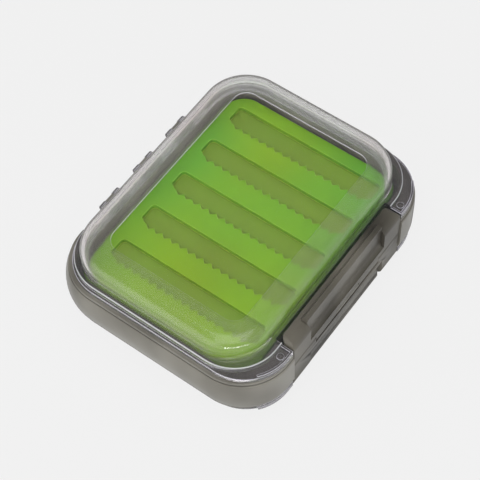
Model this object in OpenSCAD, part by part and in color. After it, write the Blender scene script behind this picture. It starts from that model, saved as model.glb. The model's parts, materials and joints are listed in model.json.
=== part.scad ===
// Double-sided fly box. A smoky frame carries a floor at mid height. Each face of it has a clear domed lid
// on three hinge stations, a toothed silicone insert behind the dome and a latch whose hook grips the lid's
// flange. The two latches turn on one pin, with their knuckles set between each other.
// The underside is the mirror image of the top, apart from the latch knuckles, which take turns on the pin.
// Millimetres. X runs along the box, Y from the latches to the hinges, Z up from the lower window.

/* [Frame] */
// Length of the frame over its lip
frame_lip_x = 121.8; // [114:0.2:136]
// Width of the frame over its lip
frame_lip_y = 99.2; // [94:0.2:110]
// Corner radius of the lip in plan
frame_lip_r = 21; // [18.5:0.5:23]
// Height of the frame from lip to lip
frame_h = 20; // [17:0.5:26]
// How far the wall bulges past the lip at mid height
frame_bulge = 2; // [0.8:0.1:3]
// How far it bulges past the lip on the latch side
latch_side_bulge = 0.6; // [0.4:0.1:0.8]
// Height of the straight band below each lip
lip_band_h = 1.5; // [0.8:0.1:2.5]
// Step from the band out to the bulging wall
lip_band_step = 0.3; // [0.1:0.05:0.6]
// Width of the lip at the two ends of the box
frame_wall = 4.7; // [4:0.1:6]
// Wall between the hinge bay and the compartments
hinge_wall = 1.6; // [1.2:0.1:2.6]
// Wall between the latch bay and the compartments
latch_wall = 3.8; // [2.4:0.1:4.6]
// Thickness of the floor between the two compartments
floor_t = 2; // [1.2:0.1:3]
// Corner radius of the compartments in plan
compartment_r = 12; // [8:0.5:16]

/* [Lid] */
// Gap between the frame's lip and the lid's flange
lid_gap = 0.4; // [0.2:0.05:0.8]
// Height of a lid from the flange's face to the window
lid_h = 14.6; // [12.5:0.1:22]
// Wall of the clear dome
lid_wall = 2; // [1.2:0.1:2.6]
// Thickness of the flange
flange_t = 2; // [1.4:0.1:2.6]
// Inset of the flange from the frame's lip at the box ends
flange_inset_x = 1.3; // [0.6:0.1:2]
// Inset of the flange from the lip on the hinge side
flange_inset_hinge = 1.9; // [1.8:0.1:2.4]
// Inset of the flange's ears from the lip on the latch side
flange_inset_ear = 0.1; // [0:0.1:1]
// Height of the bead that stands on the flange
bead_h = 2.9; // [2:0.1:4]
// Width of the bevel along the bead's top
bead_bevel = 0.7; // [0.3:0.1:1.2]
// Inset of the bead from the lip at the box ends
bead_inset_x = 2; // [1.4:0.1:2.6]
// Inset of the bead from the lip on the hinge side
bead_inset_hinge = 2.8; // [2.6:0.1:3.8]
// Inset of the bead from the lip on the latch side
bead_inset_latch = 5.1; // [4.6:0.1:6.4]
// Inset of the dome's foot from the lip at the box ends
dome_inset_x = 3.7; // [3.2:0.1:5]
// Inset of the dome's foot from the lip on the hinge side
dome_inset_hinge = 4.4; // [4:0.1:6]
// Inset of the dome's foot from the lip on the latch side
dome_inset_latch = 8.7; // [8.2:0.1:10]
// Corner radius of the dome's foot in plan
dome_r = 19.3; // [17:0.1:22]
// Width of the curved shoulder in plan
shoulder_w = 12.5; // [9:0.1:14]
// Fullness of its curve, where 2 is an ellipse and more is squarer
shoulder_fullness = 3.2; // [2:0.1:4]
// Height of the raised window plate above the shoulder
window_step = 0.25; // [0.1:0.05:0.5]
// Corner radius of the window
window_r = 6; // [3:0.5:9]
// How far the window runs over the shoulder on the latch side
window_over_latch = 2.1; // [0:0.1:2.5]
// How far the window stops short of the shoulder on the hinge side
window_short_hinge = 0.6; // [0:0.1:3]
// Width of the rib round the edge of an ear
ear_rib_w = 1; // [0.6:0.1:1.6]
// Height of that rib above the flange
ear_rib_h = 1.6; // [0.6:0.1:2.6]
// Outer radius of the ring moulded in each ear
ear_ring_r = 1.5; // [1:0.1:2]
// Wall of that ring
ear_ring_wall = 0.6; // [0.3:0.1:0.8]
// Height of that ring above the flange
ear_ring_h = 0.6; // [0.3:0.1:1.4]

/* [Latches] */
// Width of a latch
latch_x = 72; // [60:0.5:76]
// Gap between the ends of a latch and its bay
latch_side_gap = 0.6; // [0.3:0.1:1.2]
// Radius of the knuckles on the latch pin
latch_knuckle_r = 1.85; // [1.6:0.05:2.2]
// Depth of the latch pin's axis inside the frame's lip
latch_pin_inset = 1.9; // [1.6:0.05:2.3]
// Radius of the latch pin
latch_pin_r = 1; // [0.7:0.05:1.2]
// How far the latch pin enters the frame at each end
latch_pin_seat = 3; // [1.5:0.5:5]
// Length of the frame's own knuckle
frame_knuckle_x = 15.4; // [10:0.2:20]
// Length of each knuckle of the upper latch
upper_knuckle_x = 13.4; // [8:0.2:15]
// Gap between neighbouring knuckles
knuckle_gap = 0.2; // [0.1:0.05:0.5]
// Gap between a knuckle and the plate that clears it
parting_gap = 0.2; // [0.1:0.05:0.4]
// Thickness of a latch's plate
latch_plate_t = 2.95; // [2.6:0.05:3.4]
// How far the hook reaches in from the plate
hook_reach = 3.8; // [2.5:0.1:4.2]
// Height of the hook
hook_h = 3.4; // [2.6:0.1:4.4]
// Gap between the hook and the flange that it holds
hook_gap = 0.2; // [0.1:0.05:0.5]
// Gap between the hook's end and the bead
hook_end_gap = 1; // [0.5:0.1:1.4]
// Gap between the flange's edge and the latch's plate
flange_latch_gap = 0.5; // [0.3:0.1:1]
// Radius of the latch's top corners
latch_corner_r = 3; // [1:0.5:5]
// Radius of the rounded edge along its top, outside
latch_edge_r = 4; // [1:0.1:4.2]
// Radius of the hook's corners in plan
hook_corner_r = 3.5; // [0.5:0.1:4.5]
// Width of the thumb lip and of the scoop below it
thumb_x = 50; // [36:1:56]
// Height of the thumb lip above the latch
thumb_h = 2.5; // [1.2:0.1:3.5]
// Thickness of the thumb lip at its edge
thumb_t = 2.1; // [1.4:0.1:2.4]
// Thickness of the thumb lip at its foot
thumb_foot_t = 3.3; // [2.5:0.1:4]
// How far the thumb lip overhangs the scoop
thumb_overhang = 0.2; // [0:0.1:0.8]
// Depth of the scoop behind the latch's face
scoop_depth = 1.8; // [1:0.1:2]
// Height of the scoop's lower edge above the box's middle
scoop_foot = 5; // [3.5:0.1:8]
// Height over which the scoop curves out to the face
scoop_flare_h = 3.5; // [2:0.1:6]

/* [Hinges] */
// Distance from one hinge station to the next
hinge_pitch = 21.4; // [16:0.2:26]
// Depth of the hinge axis inside the frame's lip
hinge_inset = 1; // [0.8:0.05:1.6]
// Height of the hinge axis above the lip
hinge_rise = 0.2; // [0:0.05:0.5]
// Length of the bay in the frame's hinge side
hinge_bay_x = 76.6; // [68:0.2:84]
// Radius of the lid's knuckles
lid_knuckle_r = 2.2; // [2:0.05:2.4]
// Length of each of the lid's knuckles
lid_knuckle_x = 3; // [2:0.1:4]
// Radius of the frame's hinge knuckles
frame_hinge_r = 1.9; // [1.5:0.05:1.95]
// Length of each of the frame's hinge knuckles
frame_hinge_x = 4.2; // [3:0.1:5]
// Gap at each end of the frame's hinge knuckles
hinge_gap = 0.3; // [0.15:0.05:0.5]
// Gap between the turning knuckles and what they turn beside
swing_gap = 0.4; // [0.25:0.05:0.6]
// Radius of a hinge pin
hinge_pin_r = 1; // [0.7:0.05:1.15]
// Running clearance between a pin and its bore
pin_fit = 0.05; // [0.02:0.01:0.08]

/* [Insert] */
// Thickness of a silicone insert
insert_t = 3; // [2.4:0.1:6]
// Gap between the insert and the frame at the box ends
insert_gap_x = 1.8; // [0.3:0.1:3]
// Gap between the insert and the frame on the other two sides
insert_gap_y = 2.4; // [0.3:0.1:3.5]
// Corner radius of the insert
insert_r = 9.6; // [6:0.2:14]
// Number of pockets
pocket_n = 5; // [1:1:5]
// Distance from one pocket to the next
pocket_pitch = 19.6; // [15:0.1:20]
// Width of a pocket up to the middle of its teeth
pocket_w = 10; // [6:0.1:12]
// Length of a pocket
pocket_l = 70.8; // [66:0.2:74]
// Depth of a pocket
pocket_depth = 2.2; // [1:0.1:2.2]
// Margin beside the first pocket's straight edge
pocket_margin = 5.9; // [3:0.1:8]
// Radius of a pocket's corners on its straight side
pocket_r = 2; // [0.5:0.1:3]
// Width of the cut corners on a pocket's toothed side
pocket_bevel = 2.4; // [1:0.1:2.8]
// Number of teeth
tooth_n = 16; // [6:1:16]
// Distance from one tooth to the next
tooth_pitch = 4; // [3:0.1:4]
// Height of a tooth from root to tip
tooth_h = 1.75; // [0.8:0.05:2.4]

/* [Hidden] */
$fn = 48;

smoky = [0.45, 0.42, 0.39];
clear = [0.86, 0.88, 0.90, 0.45];
green = [0.45, 0.66, 0.22];
steel = [0.75, 0.76, 0.78];

// Small overlap that joins the pieces of one moulding, and reach that takes a cut past what it cuts
bond = 0.2;
past = 5;
// Steps in a quarter of a curve, and in the bulging wall
curve_n = 16;
barrel_n = 14;

// Heights, measured from the box's middle
lip_z = frame_h / 2;
flange_z = lip_z + lid_gap;
flange_top_z = flange_z + flange_t;
bead_top_z = flange_top_z + bead_h;
window_z = flange_z + lid_h;
dome_top_z = window_z - window_step;
insert_top_z = floor_t / 2 + insert_t;
mid_z = window_z;

// Hinge axis, and the bay that its knuckles turn in
hinge_y = frame_lip_y / 2 - hinge_inset;
hinge_z = lip_z + hinge_rise;
hinge_bay_y = hinge_y - lid_knuckle_r - swing_gap;
lid_knuckle_from = frame_hinge_x / 2 + hinge_gap;
hinge_pin_x = 2 * (lid_knuckle_from + lid_knuckle_x) - knuckle_gap;

// Latch pin's axis, the bay, and the latch's plate and hook
latch_y = -(frame_lip_y / 2 - latch_pin_inset);
latch_bay_y = latch_y + latch_knuckle_r + swing_gap;
latch_bay_x = latch_x + 2 * latch_side_gap;
latch_pin_x = latch_bay_x + 2 * latch_pin_seat;
latch_face_y = latch_y - latch_knuckle_r;
latch_back_y = latch_face_y + latch_plate_t;
hook_end_y = latch_back_y + hook_reach;
hook_z = flange_top_z + hook_gap;
hook_top_z = hook_z + hook_h;
plate_foot_z = latch_knuckle_r + parting_gap;
scoop_y = latch_face_y + scoop_depth;
upper_knuckle_from = frame_knuckle_x / 2 + knuckle_gap;
lower_knuckle_from = upper_knuckle_from + upper_knuckle_x + knuckle_gap;

// Plan of the compartments
room_x = frame_lip_x - 2 * frame_wall;
room_latch_y = latch_bay_y + latch_wall;
room_hinge_y = hinge_bay_y - hinge_wall;
room_y = room_hinge_y - room_latch_y;
room_mid_y = (room_hinge_y + room_latch_y) / 2;

// Plan of the flange, the bead and the dome, each as its size along X and its two edges along Y
flange_x = frame_lip_x - 2 * flange_inset_x;
flange_y = frame_lip_y - flange_inset_hinge - flange_inset_ear;
flange_mid_y = (flange_inset_ear - flange_inset_hinge) / 2;
flange_r = frame_lip_r - flange_inset_x;
flange_front_y = latch_back_y + flange_latch_gap;
bead_x = frame_lip_x - 2 * bead_inset_x;
bead_y = frame_lip_y - bead_inset_hinge - bead_inset_latch;
bead_mid_y = (bead_inset_latch - bead_inset_hinge) / 2;
bead_r = frame_lip_r - bead_inset_x;
dome_x = frame_lip_x - 2 * dome_inset_x;
dome_y = frame_lip_y - dome_inset_hinge - dome_inset_latch;
dome_mid_y = (dome_inset_latch - dome_inset_hinge) / 2;
shoulder_h = dome_top_z - bead_top_z;
window_x = dome_x - 2 * shoulder_w;
window_hinge_y = dome_mid_y + dome_y / 2 - shoulder_w - window_short_hinge;
window_latch_y = dome_mid_y - dome_y / 2 + shoulder_w - window_over_latch;
ear_front_y = -(frame_lip_y / 2 - flange_inset_ear);
ear_back_y = -(frame_lip_y / 2 - bead_inset_latch);
ear_ring_x = (latch_bay_x / 2) + ear_rib_w + 2 * ear_ring_r;
ear_ring_y = (ear_front_y + ear_rib_w + ear_back_y) / 2;

// Rounded rectangle about the origin
module plate_outline(x, y, r)
{
    square([x - 2 * r, y], center = true);
    square([x, y - 2 * r], center = true);
    for (sx = [-1, 1], sy = [-1, 1])
        translate([sx * (x / 2 - r), sy * (y / 2 - r)])
            circle(r);
}

// Carries a profile (out, up) round a rounded rectangle of size x by y and corner radius r. The profile is
// measured out from the corner centres and reaches in to them, from height z0 to height z1.
module round_the_box(x, y, r, z0, z1)
{
    run_x = x - 2 * r;
    run_y = y - 2 * r;
    translate([-run_x / 2, -run_y / 2, z0])
        cube([run_x, run_y, z1 - z0]);
    for (turn = [0, 180])
        rotate(turn)
        {
            translate([-run_x / 2, run_y / 2, 0])
                rotate([90, 0, 90])
                    linear_extrude(run_x)
                        children();
            translate([run_x / 2, run_y / 2, 0])
                rotate_extrude(angle = 90)
                    children();
            translate([-run_x / 2, run_y / 2, 0])
                rotate(90)
                    rotate_extrude(angle = 90)
                        children();
            translate([run_x / 2, run_y / 2, 0])
                rotate([90, 0, 0])
                    linear_extrude(run_y)
                        children();
        }
}

// Distance from the lip out to the bulging wall at height z
function barrel_out(z, half, rise) =
    let (r = (half * half + rise * rise) / (2 * rise))
    lip_band_step + rise - r + sqrt(r * r - z * z);

// Outer section of the frame: two straight bands with the bulging wall between them
module frame_profile()
{
    half = lip_z - lip_band_h;
    rise = frame_bulge - lip_band_step;
    wall = [for (i = [0:barrel_n])
        let (z = -half + 2 * half * i / barrel_n)
        [frame_lip_r + barrel_out(z, half, rise), z]];
    polygon(concat(
        [[0, -lip_z], [frame_lip_r, -lip_z], [frame_lip_r, -half]],
        wall,
        [[frame_lip_r, half], [frame_lip_r, lip_z], [0, lip_z]]));
}

// Curved shoulder that rises h over the width w and ends on the profile's inner edge
function full(c) = pow(max(c, 0), 2 / shoulder_fullness);

module shoulder_profile(r, w, h, z0, z1)
{
    arc = [for (i = [0:curve_n])
        let (a = 90 * i / curve_n)
        [r - w * (1 - full(cos(a))), z1 + h * full(sin(a))]];
    polygon(concat([[0, z0], [r, z0]], arc, [[0, z1 + h]]));
}

// A domed block: straight sides from z0 to z1, then the shoulder
module dome_block(x, y, r, w, h, z0, z1)
{
    round_the_box(x, y, r, z0, z1 + h)
        shoulder_profile(r, w, h, z0, z1);
}

// A cylinder along X between two places
module rod_x(x0, x1, r)
{
    translate([x0, 0, 0])
        rotate([0, 90, 0])
            cylinder(r = r, h = x1 - x0);
}

// A block between two corners
module block(from, to)
{
    translate(from)
        cube(to - from);
}

// The same shape on both ends of the box
module both_ends()
{
    children();
    mirror([1, 0, 0])
        children();
}

module at_hinges()
{
    for (i = [-1, 0, 1])
        translate([i * hinge_pitch, hinge_y, hinge_z])
            children();
}

module upper_half()
{
    translate([0, 0, mid_z])
        children();
}

module lower_half()
{
    upper_half()
        mirror([0, 0, 1])
            children();
}

// Hinge knuckles of the frame, on one face
module frame_hinge_knuckles()
{
    at_hinges()
    {
        rod_x(-frame_hinge_x / 2, frame_hinge_x / 2, frame_hinge_r);
        block([-frame_hinge_x / 2, hinge_bay_y - hinge_y - bond, -frame_hinge_r],
              [frame_hinge_x / 2, 0, 0]);
    }
}

module center_frame()
{
    color(smoky)
        difference()
        {
            translate([0, 0, mid_z])
                union()
                {
                    difference()
                    {
                        intersection()
                        {
                            round_the_box(frame_lip_x, frame_lip_y, frame_lip_r, -lip_z, lip_z)
                                frame_profile();
                            translate([0, (past - latch_side_bulge) / 2, -frame_h])
                                linear_extrude(2 * frame_h)
                                    plate_outline(frame_lip_x + past, frame_lip_y + past + latch_side_bulge,
                                                  frame_lip_r + past / 2);
                        }
                        for (from = [floor_t / 2, -lip_z - past])
                            translate([0, room_mid_y, from])
                                linear_extrude(lip_z + past - floor_t / 2)
                                    plate_outline(room_x, room_y, compartment_r);
                        block([-latch_bay_x / 2, -frame_lip_y, -frame_h],
                              [latch_bay_x / 2, latch_bay_y, frame_h]);
                        block([-hinge_bay_x / 2, hinge_bay_y, -frame_h], [hinge_bay_x / 2, frame_lip_y, frame_h]);
                    }
                    translate([0, latch_y, 0])
                        rod_x(-frame_knuckle_x / 2, frame_knuckle_x / 2, latch_knuckle_r);
                    block([-frame_knuckle_x / 2, latch_y, -latch_knuckle_r],
                          [frame_knuckle_x / 2, latch_bay_y + bond, latch_knuckle_r]);
                    frame_hinge_knuckles();
                    mirror([0, 0, 1])
                        frame_hinge_knuckles();
                }
            translate([0, latch_y, mid_z])
                rod_x(-latch_pin_x / 2 - pin_fit, latch_pin_x / 2 + pin_fit, latch_pin_r + pin_fit);
            for (side = [-1, 1])
                translate([-hinge_bay_x / 2, hinge_y, mid_z + side * hinge_z])
                    rod_x(0, hinge_bay_x, hinge_pin_r + pin_fit);
        }
}

// Pocket of the insert: straight on one long side, toothed on the other, about the tooth line's middle
module pocket_outline()
{
    teeth_l = tooth_n * tooth_pitch;
    teeth = [for (i = [0:2 * tooth_n])
        [(i % 2 == 0 ? 1 : -1) * tooth_h / 2, teeth_l / 2 - i * tooth_pitch / 2]];
    intersection()
    {
        polygon(concat(
            [[pocket_w, -pocket_l / 2], [pocket_w, pocket_l / 2],
             [pocket_bevel, pocket_l / 2], [tooth_h / 2, pocket_l / 2 - pocket_bevel]],
            teeth,
            [[tooth_h / 2, -pocket_l / 2 + pocket_bevel], [pocket_bevel, -pocket_l / 2]]));
        plate_outline(2 * pocket_w, pocket_l, pocket_r);
    }
}

module insert()
{
    color(green)
        difference()
        {
            translate([0, room_mid_y, floor_t / 2])
                linear_extrude(insert_t)
                    plate_outline(room_x - 2 * insert_gap_x, room_y - 2 * insert_gap_y, insert_r);
            for (i = [0:pocket_n - 1])
                translate([room_x / 2 - insert_gap_x - pocket_margin - pocket_w - i * pocket_pitch,
                           room_mid_y, insert_top_z - pocket_depth])
                    linear_extrude(pocket_depth + past)
                        pocket_outline();
        }
}

// Flange with an ear on each side of the latch
module flange_outline()
{
    difference()
    {
        translate([0, flange_mid_y])
            plate_outline(flange_x, flange_y, flange_r);
        translate([-latch_bay_x / 2, -frame_lip_y])
            square([latch_bay_x, frame_lip_y + flange_front_y]);
    }
}

// Rib along the free edges of an ear
module ear_rib_outline()
{
    intersection()
    {
        difference()
        {
            flange_outline();
            translate([0, flange_mid_y])
                plate_outline(flange_x - 2 * ear_rib_w, flange_y - 2 * ear_rib_w, flange_r - ear_rib_w);
        }
        translate([latch_bay_x / 2, -frame_lip_y])
            square([frame_lip_x, frame_lip_y + ear_back_y]);
    }
    translate([latch_bay_x / 2, ear_front_y])
        square([ear_rib_w, ear_back_y - ear_front_y]);
}

module lid()
{
    bead_in_r = bead_r - bead_bevel;
    color(clear)
        difference()
        {
            union()
            {
                translate([0, 0, flange_z])
                    linear_extrude(flange_t)
                        flange_outline();
                difference()
                {
                    translate([0, bead_mid_y, 0])
                        round_the_box(bead_x, bead_y, bead_r, flange_top_z - bond, bead_top_z)
                            polygon([[0, flange_top_z - bond], [bead_r, flange_top_z - bond],
                                     [bead_r, bead_top_z - bead_bevel], [bead_in_r, bead_top_z],
                                     [0, bead_top_z]]);
                    block([-latch_bay_x / 2, -frame_lip_y, flange_top_z],
                          [latch_bay_x / 2, hook_end_y + hook_end_gap, bead_top_z + past]);
                }
                translate([0, dome_mid_y, 0])
                    dome_block(dome_x, dome_y, dome_r, shoulder_w, shoulder_h, flange_z, bead_top_z);
                translate([0, (window_hinge_y + window_latch_y) / 2, dome_top_z - lid_wall / 2])
                    linear_extrude(window_step + lid_wall / 2)
                        plate_outline(window_x, window_hinge_y - window_latch_y, window_r);
                both_ends()
                {
                    translate([0, 0, flange_top_z - bond])
                        linear_extrude(ear_rib_h + bond)
                            ear_rib_outline();
                    translate([ear_ring_x, ear_ring_y, flange_top_z - bond])
                        difference()
                        {
                            cylinder(r = ear_ring_r, h = ear_ring_h + bond);
                            cylinder(r = ear_ring_r - ear_ring_wall, h = ear_ring_h + past);
                        }
                }
                at_hinges()
                    both_ends()
                    {
                        rod_x(lid_knuckle_from, lid_knuckle_from + lid_knuckle_x, lid_knuckle_r);
                        block([lid_knuckle_from, -flange_inset_hinge - bond, flange_z - hinge_z],
                              [lid_knuckle_from + lid_knuckle_x, 0, flange_top_z - hinge_z]);
                    }
            }
            translate([0, dome_mid_y, 0])
                dome_block(dome_x - 2 * lid_wall, dome_y - 2 * lid_wall, dome_r - lid_wall,
                           shoulder_w - lid_wall, shoulder_h - lid_wall, flange_z - past, bead_top_z);
            at_hinges()
            {
                block([-lid_knuckle_from, -frame_hinge_r - hinge_gap, -past],
                      [lid_knuckle_from, past, flange_top_z - hinge_z]);
                rod_x(-lid_knuckle_from - lid_knuckle_x - past, lid_knuckle_from + lid_knuckle_x + past,
                      hinge_pin_r + pin_fit);
            }
        }
}

// Section (Y, Z) of a latch's plate and hook
module latch_section()
{
    edge = [for (i = [0:curve_n])
        let (a = 90 + 90 * i / curve_n)
        [latch_face_y + latch_edge_r * (1 + cos(a)), hook_top_z - latch_edge_r * (1 - sin(a))]];
    polygon(concat([[latch_face_y, plate_foot_z], [latch_back_y, plate_foot_z], [latch_back_y, hook_z],
                    [hook_end_y, hook_z], [hook_end_y, hook_top_z]], edge));
}

// Section of the thumb lip, which stands over the scoop
module thumb_section()
{
    thumb_y = scoop_y - thumb_overhang;
    thumb_foot_z = hook_top_z - latch_edge_r / 2;
    polygon([[thumb_y, hook_top_z + thumb_h], [thumb_y + thumb_t, hook_top_z + thumb_h],
             [thumb_y + thumb_foot_t, hook_top_z - bond], [thumb_y + thumb_foot_t, thumb_foot_z],
             [scoop_y, thumb_foot_z], [scoop_y, hook_top_z + thumb_h / 2]]);
}

// Section of the scoop: a straight face that curves out to the latch's face at its foot
module scoop_section()
{
    flare = [for (i = [0:curve_n])
        let (a = 90 * i / curve_n)
        [latch_face_y + scoop_depth * (1 - cos(a)), scoop_foot + scoop_flare_h * (1 - cos(90 - a))]];
    polygon(concat([[latch_face_y - past, scoop_foot]], flare,
                   [[scoop_y, hook_top_z + past], [latch_face_y - past, hook_top_z + past]]));
}

// Extrudes a (Y, Z) section along X, centred
module along_x(x)
{
    rotate([90, 0, 90])
        linear_extrude(x, center = true)
            children();
}

// Plate and hook with their corners rounded, seen from the front and from above
module latch_plate()
{
    intersection()
    {
        along_x(latch_x)
            latch_section();
        translate([0, -frame_lip_y / 2, 0])
            rotate([90, 0, 0])
                linear_extrude(frame_lip_y, center = true)
                    plate_outline(latch_x, 2 * hook_top_z, latch_corner_r);
        translate([0, hook_end_y - frame_lip_y, 0])
            linear_extrude(hook_top_z)
                plate_outline(latch_x, 2 * frame_lip_y, hook_corner_r);
    }
}

// A latch whose knuckles lie between two places on each side of the middle
module latch(knuckle_from, knuckle_to)
{
    color(smoky)
        difference()
        {
            union()
            {
                difference()
                {
                    latch_plate();
                    along_x(thumb_x)
                        scoop_section();
                }
                along_x(thumb_x)
                    thumb_section();
                both_ends()
                {
                    translate([0, latch_y, 0])
                        rod_x(knuckle_from, knuckle_to, latch_knuckle_r);
                    block([knuckle_from, latch_face_y, 0], [knuckle_to, latch_back_y, plate_foot_z + bond]);
                }
            }
            translate([0, latch_y, 0])
                rod_x(-latch_x, latch_x, latch_pin_r + pin_fit);
        }
}

module latch_pin()
{
    color(steel)
        translate([0, latch_y, mid_z])
            rod_x(-latch_pin_x / 2, latch_pin_x / 2, latch_pin_r);
}

// Pin of one hinge station, counted 1 to 3 along X
module hinge_pin(station)
{
    color(steel)
        translate([(station - 2) * hinge_pitch, hinge_y, hinge_z])
            rod_x(-hinge_pin_x / 2, hinge_pin_x / 2, hinge_pin_r);
}

module top_insert() { upper_half() insert(); }
module bottom_insert() { lower_half() insert(); }
module top_lid() { upper_half() lid(); }
module bottom_lid() { lower_half() lid(); }
module top_latch() { upper_half() latch(upper_knuckle_from, upper_knuckle_from + upper_knuckle_x); }
module bottom_latch() { lower_half() latch(lower_knuckle_from, latch_x / 2); }

center_frame();
top_insert();
bottom_insert();
top_lid();
bottom_lid();
top_latch();
bottom_latch();
latch_pin();
upper_half() hinge_pin(1);  // top_hinge_pin_1
upper_half() hinge_pin(2);  // top_hinge_pin_2
upper_half() hinge_pin(3);  // top_hinge_pin_3
lower_half() hinge_pin(1);  // bottom_hinge_pin_1
lower_half() hinge_pin(2);  // bottom_hinge_pin_2
lower_half() hinge_pin(3);  // bottom_hinge_pin_3
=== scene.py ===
"""Looks of a double-sided fly box: smoky frame and latches, clear domed lids, toothed silicone inserts.

Sizes are millimetres unless a name says otherwise, and mesh code turns them to metres. Heights are measured
from the box's middle, so the underside is the top turned over. Cutters run out to FAR, past every face, and what
is added reaches LAP into what it is added to.
"""

import json
import logging
import math
from dataclasses import astuple, dataclass, field, replace
from enum import Enum
from typing import Optional, Sequence

import bmesh
import bpy
from bpy.types import GeometryNodeTree, Material, Mesh, Node, NodeSocket, NodeTree, Object
from mathutils import Matrix, Vector

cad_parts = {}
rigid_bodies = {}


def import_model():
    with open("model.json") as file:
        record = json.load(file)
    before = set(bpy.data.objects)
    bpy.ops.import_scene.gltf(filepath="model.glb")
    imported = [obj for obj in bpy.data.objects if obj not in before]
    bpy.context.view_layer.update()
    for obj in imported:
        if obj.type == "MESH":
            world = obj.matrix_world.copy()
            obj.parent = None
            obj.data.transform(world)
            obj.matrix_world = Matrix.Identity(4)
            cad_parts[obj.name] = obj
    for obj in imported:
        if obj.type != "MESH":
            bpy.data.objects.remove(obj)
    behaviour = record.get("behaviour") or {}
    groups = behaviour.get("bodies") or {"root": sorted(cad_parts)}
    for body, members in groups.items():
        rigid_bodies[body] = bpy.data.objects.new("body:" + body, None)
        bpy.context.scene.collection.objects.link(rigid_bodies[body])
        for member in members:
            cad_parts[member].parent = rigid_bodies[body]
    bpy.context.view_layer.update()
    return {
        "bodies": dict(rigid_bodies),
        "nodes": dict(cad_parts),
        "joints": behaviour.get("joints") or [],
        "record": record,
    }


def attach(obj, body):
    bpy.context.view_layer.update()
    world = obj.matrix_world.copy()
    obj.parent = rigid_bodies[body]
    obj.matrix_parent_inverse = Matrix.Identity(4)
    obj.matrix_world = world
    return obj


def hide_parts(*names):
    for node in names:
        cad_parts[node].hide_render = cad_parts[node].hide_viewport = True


log = logging.getLogger("fly_box")

MM = 0.001
MID_Z = 25.0
FAR = 80.0
LAP = 0.2
WELD = 0.002  # points nearer than this are one
FLAT_DEG = 0.5  # faces that meet at less than this are one
EDGE_SEGMENTS = 2


class Face(Enum):
    """The two faces of the box, each with the sign that its heights take."""

    TOP = 1
    BOTTOM = -1

    @property
    def word(self) -> str:
        """Name of the face as the nodes spell it."""
        return self.name.lower()


class Join(Enum):
    """Ways to combine one solid with another."""

    ADD = "UNION"
    CUT = "DIFFERENCE"
    KEEP = "INTERSECT"


# ----------------------------------------
# Colours and nodes


def linear(hex_colour: str) -> tuple[float, float, float, float]:
    """Turns an sRGB hex value into a linear colour.

    Args:
        hex_colour: Six hex digits, with or without a leading hash.

    Returns:
        Linear red, green and blue, and an alpha of 1.
    """
    digits = hex_colour.lstrip("#")
    parts = [int(digits[i:i + 2], 16) / 255 for i in (0, 2, 4)]
    made = [c / 12.92 if c <= 0.04045 else ((c + 0.055) / 1.055) ** 2.4 for c in parts]
    return (*made, 1.0)


def feed(tree: NodeTree, node: Node, inputs: dict) -> Node:
    """Sets a node's inputs.

    Args:
        tree: Tree that holds the node.
        node: Node to set.
        inputs: By input socket, a name or an index: a value, a socket, or a node whose first output is meant.

    Returns:
        The same node.
    """
    for socket, given in inputs.items():
        source = given.outputs[0] if isinstance(given, Node) else given
        if isinstance(source, NodeSocket):
            tree.links.new(source, node.inputs[socket])
        else:
            node.inputs[socket].default_value = source
    return node


def add_node(tree: NodeTree, kind: str, inputs: Optional[dict] = None, **settings: object) -> Node:
    """Adds a node with its settings and what goes into it.

    Args:
        tree: Tree that the node goes into.
        kind: Type name of the node.
        inputs: Values and links by input socket, as feed takes them.
        settings: Attributes to set on the node.

    Returns:
        The new node.
    """
    node = tree.nodes.new(kind)
    for name, value in settings.items():
        setattr(node, name, value)
    return feed(tree, node, inputs or {})


def cleared_tree(owner: bpy.types.ID) -> NodeTree:
    """The empty node tree of a new material or world."""
    owner.use_nodes = True
    owner.node_tree.nodes.clear()
    return owner.node_tree


def noise_mm(tree: NodeTree, grain_mm: float, detail: float, stretch: Sequence[float] = (1, 1, 1)) -> Node:
    """Noise on Object coordinates whose grain has a real size.

    Args:
        tree: Material's node tree.
        grain_mm: Size of the noise's grain.
        detail: Octaves of finer noise.
        stretch: Factors on the three axes, larger for a shorter grain.

    Returns:
        The noise texture node.
    """
    place = add_node(tree, "ShaderNodeTexCoord").outputs["Object"]
    turned = add_node(tree, "ShaderNodeMapping", {"Scale": stretch, "Vector": place})
    return add_node(tree, "ShaderNodeTexNoise", {"Scale": 1 / (grain_mm * MM), "Detail": detail, "Vector": turned})


def drift(tree: NodeTree, grain_mm: float, detail: float, half: float, low: str, high: str) -> NodeSocket:
    """A colour that drifts slowly from one value to another.

    Args:
        tree: Material's node tree.
        grain_mm: Size of the drift's patches.
        detail: Octaves of finer noise.
        half: Half of the noise's range in which one colour turns into the other.
        low: sRGB hex value where the noise is low.
        high: sRGB hex value where it is high.

    Returns:
        The colour's socket.
    """
    ramp = add_node(tree, "ShaderNodeValToRGB", {"Fac": noise_mm(tree, grain_mm, detail)})
    for element, position, colour in zip(ramp.color_ramp.elements, (0.5 - half, 0.5 + half), (low, high)):
        element.position, element.color = position, linear(colour)
    return ramp.outputs["Color"]


def in_nooks(tree: NodeTree, colour: NodeSocket, reach_mm: float, share: float) -> NodeSocket:
    """Darkens a colour in grooves and corners, a painted shade.

    Args:
        tree: Material's node tree.
        colour: Colour of the open faces.
        reach_mm: How near another face has to be.
        share: How much of the darkening is taken.

    Returns:
        The colour with its painted shade in the nooks.
    """
    near = {"Distance": reach_mm * MM, "Color": colour}
    nook = add_node(tree, "ShaderNodeAmbientOcclusion", near, only_local=True, samples=6)
    return add_node(tree, "ShaderNodeMix", {0: share, 6: colour, 7: nook}, data_type="RGBA").outputs[2]


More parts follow.
